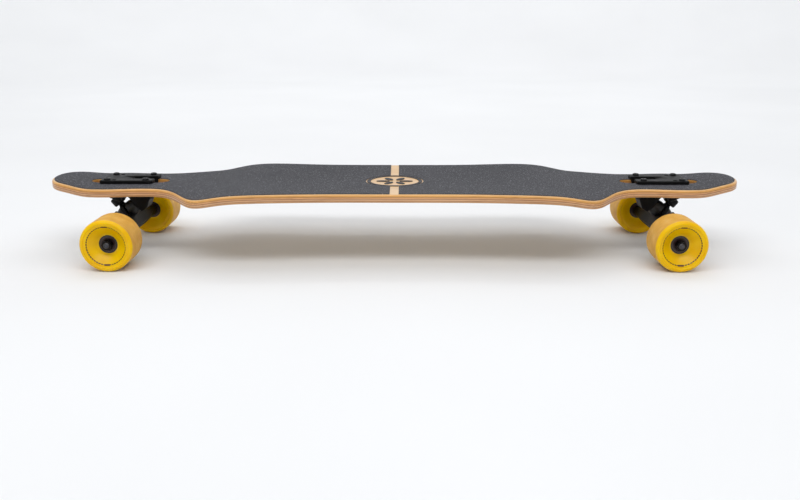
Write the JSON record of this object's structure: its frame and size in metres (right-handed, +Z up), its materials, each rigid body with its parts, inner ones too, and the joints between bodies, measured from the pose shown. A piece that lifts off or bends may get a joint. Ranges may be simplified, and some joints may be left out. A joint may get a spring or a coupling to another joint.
{
  "type": "drop-through longboard",
  "caption": "Drop-through longboard with a cambered maple deck, black grip, reverse-kingpin trucks and yellow urethane wheels on sealed bearings.",
  "frame": {"origin": "on the floor under the middle of the deck, at the bottom centre of the whole board", "axes": "+X to the front along the deck, +Y to the left across it, +Z up"},
  "size_m": [0.969, 0.257, 0.1058],
  "materials": {
    "maple_ply": "clear lacquered plies",
    "grip": "coarse black grit",
    "black_casting": "satin powder coat",
    "black_hardware": "black oxide",
    "zinc_steel": "zinc plated",
    "dark_nut_steel": "dark plated",
    "bearing_steel": "ground",
    "wheel_urethane": "poured urethane",
    "core_plastic": "moulded",
    "bushing_urethane": "poured urethane",
    "pivot_urethane": "moulded",
    "shield_rubber": "moulded seal",
    "cage_nylon": "moulded nylon"
  },
  "bodies": {
    "deck": {"deck": "maple_ply", "grip_tape_front": "grip", "grip_tape_rear": "grip", "grip_badge_ring": "grip", "grip_badge_petals": "grip", "mounting_screws": "black_hardware", "mounting_lock_nuts": "black_hardware", "baseplate_front": "black_casting", "pivot_cup_front": "pivot_urethane", "kingpin_front": "zinc_steel", "kingpin_nut_front": "zinc_steel", "cup_washers_front": "zinc_steel", "bushing_boardside_front": "bushing_urethane", "bushing_roadside_front": "bushing_urethane", "baseplate_rear": "black_casting", "pivot_cup_rear": "pivot_urethane", "kingpin_rear": "zinc_steel", "kingpin_nut_rear": "zinc_steel", "cup_washers_rear": "zinc_steel", "bushing_boardside_rear": "bushing_urethane", "bushing_roadside_rear": "bushing_urethane"},
    "hanger_front": {"hanger_front": "black_casting", "axle_front": "zinc_steel", "axle_nuts_front": "dark_nut_steel", "speed_washers_front": "zinc_steel", "bearing_spacers_front": "zinc_steel", "bearing_inner_races_front": "bearing_steel"},
    "wheel_front_right": {"wheel_tyre_front_right": "wheel_urethane", "wheel_core_front_right": "core_plastic", "bearing_outer_races_front_right": "bearing_steel", "bearing_shields_front_right": "shield_rubber", "bearing_balls_front_right": "bearing_steel", "bearing_cages_front_right": "cage_nylon"},
    "wheel_front_left": {"wheel_tyre_front_left": "wheel_urethane", "wheel_core_front_left": "core_plastic", "bearing_outer_races_front_left": "bearing_steel", "bearing_shields_front_left": "shield_rubber", "bearing_balls_front_left": "bearing_steel", "bearing_cages_front_left": "cage_nylon"},
    "hanger_rear": {"hanger_rear": "black_casting", "axle_rear": "zinc_steel", "axle_nuts_rear": "dark_nut_steel", "speed_washers_rear": "zinc_steel", "bearing_spacers_rear": "zinc_steel", "bearing_inner_races_rear": "bearing_steel"},
    "wheel_rear_right": {"wheel_tyre_rear_right": "wheel_urethane", "wheel_core_rear_right": "core_plastic", "bearing_outer_races_rear_right": "bearing_steel", "bearing_shields_rear_right": "shield_rubber", "bearing_balls_rear_right": "bearing_steel", "bearing_cages_rear_right": "cage_nylon"},
    "wheel_rear_left": {"wheel_tyre_rear_left": "wheel_urethane", "wheel_core_rear_left": "core_plastic", "bearing_outer_races_rear_left": "bearing_steel", "bearing_shields_rear_left": "shield_rubber", "bearing_balls_rear_left": "bearing_steel", "bearing_cages_rear_left": "cage_nylon"}
  },
  "joints": [
    {"name": "steer_front", "type": "hinge", "parent": "deck", "child": "hanger_front", "pos_m": [0.38512, 0, 0.05341], "axis": [0.6428, 0, 0.766], "range_deg": [-15, 15], "stiffness_Nm_per_rad": 40},
    {"name": "spin_front_right", "type": "hinge", "parent": "hanger_front", "child": "wheel_front_right", "pos_m": [0.3775, -0.103, 0.035], "axis": [0, 1, 0], "continuous": true},
    {"name": "spin_front_left", "type": "hinge", "parent": "hanger_front", "child": "wheel_front_left", "pos_m": [0.3775, 0.103, 0.035], "axis": [0, 1, 0], "continuous": true},
    {"name": "steer_rear", "type": "hinge", "parent": "deck", "child": "hanger_rear", "pos_m": [-0.38512, 0, 0.05341], "axis": [-0.6428, 0, 0.766], "range_deg": [-15, 15], "stiffness_Nm_per_rad": 40},
    {"name": "spin_rear_right", "type": "hinge", "parent": "hanger_rear", "child": "wheel_rear_right", "pos_m": [-0.3775, -0.103, 0.035], "axis": [0, 1, 0], "continuous": true},
    {"name": "spin_rear_left", "type": "hinge", "parent": "hanger_rear", "child": "wheel_rear_left", "pos_m": [-0.3775, 0.103, 0.035], "axis": [0, 1, 0], "continuous": true}
  ]
}
